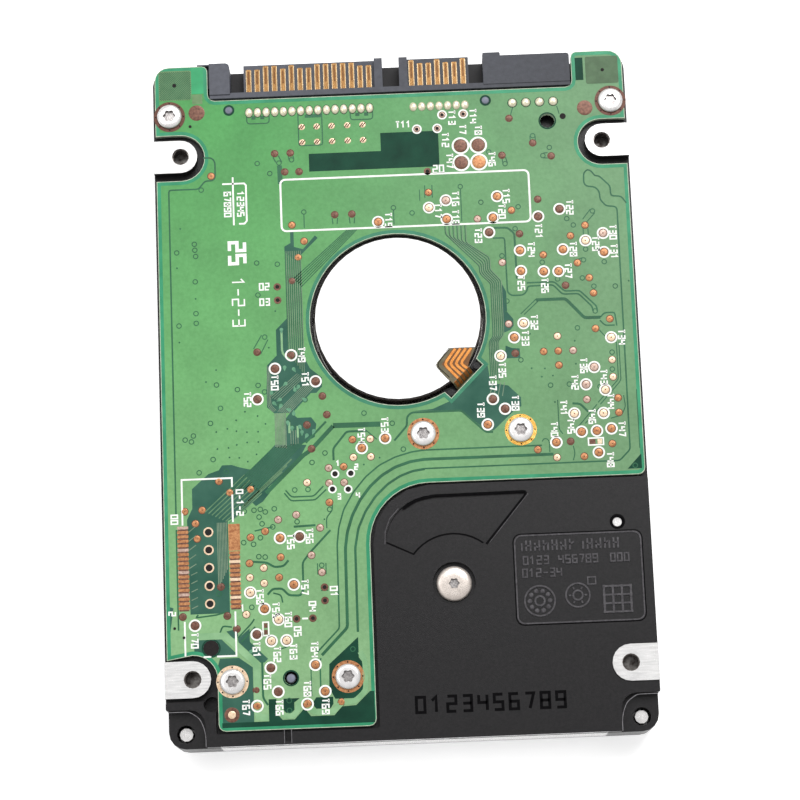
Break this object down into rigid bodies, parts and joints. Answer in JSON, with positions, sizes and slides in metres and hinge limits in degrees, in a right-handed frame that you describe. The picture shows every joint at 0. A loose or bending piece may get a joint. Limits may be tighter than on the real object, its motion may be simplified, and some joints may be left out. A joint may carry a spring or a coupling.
{
  "type": "hard disk drive",
  "caption": "Thin 2.5-inch hard disk drive, board side up: black casting with green circuit board, round motor, edge connector, sealed discs and a swinging head arm.",
  "frame": {"origin": "centre of the drive's outline on the plane that the labelled cover rests on", "axes": "+Z from the cover to the circuit board, +Y towards the SATA connector, +X to the right seen from the board side"},
  "size_m": [0.0698, 0.1004, 0.0095],
  "materials": {
    "black_casting": "die-cast aluminium with a satin black coat",
    "bare_aluminium": "machined, satin",
    "polished_steel": "bright zinc or nickel plate, polished",
    "plated_steel": "dull nickel plate",
    "stainless_cover": "pressed stainless sheet, fine brushed",
    "green_board": "glass-epoxy board with green solder mask, semi-gloss",
    "white_label": "matt white label stock",
    "grey_plastic": "moulded dark grey plastic, matt",
    "ivory_plastic": "moulded ivory liquid-crystal polymer",
    "black_plastic": "moulded black plastic",
    "gold_contact": "gold plated",
    "amber_film": "polyimide film with copper traces",
    "black_rubber": "matt",
    "dark_foam": "soft foam",
    "white_filter": "pleated filter cloth",
    "magnet_plating": "nickel plated sintered magnet",
    "copper_wire": "enamelled copper winding",
    "mirror_platter": "mirror-bright magnetic coating on glass",
    "bearing_bronze": "sintered bronze"
  },
  "bodies": {
    "base": {"base_casting": "black_casting", "bearing_sleeve": "bearing_bronze", "board_connector": "ivory_plastic", "board_foam": "dark_foam", "board_screw_1": "polished_steel", "board_screw_2": "polished_steel", "board_screw_3": "polished_steel", "board_screw_4": "polished_steel", "board_screw_5": "polished_steel", "board_screw_6": "polished_steel", "breather_filter": "white_filter", "circuit_board": "green_board", "controller_chip": "black_plastic", "cover_gasket": "black_rubber", "cover_label": "white_label", "cover_screw_1": "polished_steel", "cover_screw_2": "polished_steel", "cover_screw_3": "polished_steel", "cover_screw_4": "polished_steel", "cover_screw_5": "polished_steel", "cover_screw_6": "polished_steel", "crash_stop": "black_rubber", "head_connector": "ivory_plastic", "head_flex": "amber_film", "jumper_pins": "gold_contact", "latch_pin": "polished_steel", "load_ramp": "ivory_plastic", "lower_magnet": "magnet_plating", "lower_yoke": "plated_steel", "motor_bracket": "bare_aluminium", "motor_driver_chip": "black_plastic", "motor_flex": "amber_film", "motor_label": "white_label", "pivot_screw": "polished_steel", "pivot_shaft": "plated_steel", "power_contacts": "gold_contact", "recirculation_filter": "white_filter", "sata_housing": "grey_plastic", "signal_contacts": "gold_contact", "stator_core": "plated_steel", "stator_winding": "copper_wire", "top_cover": "stainless_cover", "upper_magnet": "magnet_plating", "upper_yoke": "plated_steel"},
    "rotor": {"disc_hub": "bare_aluminium", "spindle_shaft": "polished_steel", "rotor_magnet": "magnet_plating", "lower_platter": "mirror_platter", "upper_platter": "mirror_platter", "platter_spacer": "bare_aluminium", "disc_clamp": "polished_steel", "clamp_screw": "polished_steel"},
    "actuator": {"pivot_sleeve": "polished_steel", "e_block": "bare_aluminium", "voice_coil": "copper_wire", "head_suspension_1": "polished_steel", "head_suspension_2": "polished_steel", "head_suspension_3": "polished_steel", "head_suspension_4": "polished_steel"},
    "latch": {"latch_lever": "black_plastic"}
  },
  "joints": [
    {"name": "spindle_spin", "type": "hinge", "parent": "base", "child": "rotor", "pos_m": [0, 0.0106, 0.0035], "axis": [0, 0, 1], "continuous": true},
    {"name": "actuator_swing", "type": "hinge", "parent": "base", "child": "actuator", "pos_m": [0.0065, -0.0283, 0.0035], "axis": [0, 0, 1], "range_deg": [-32, 0], "deforming": ["head_flex"]},
    {"name": "latch_swing", "type": "hinge", "parent": "base", "child": "latch", "pos_m": [0.03005, -0.0204, 0.0045], "axis": [0, 0, 1], "range_deg": [0, 12]}
  ]
}
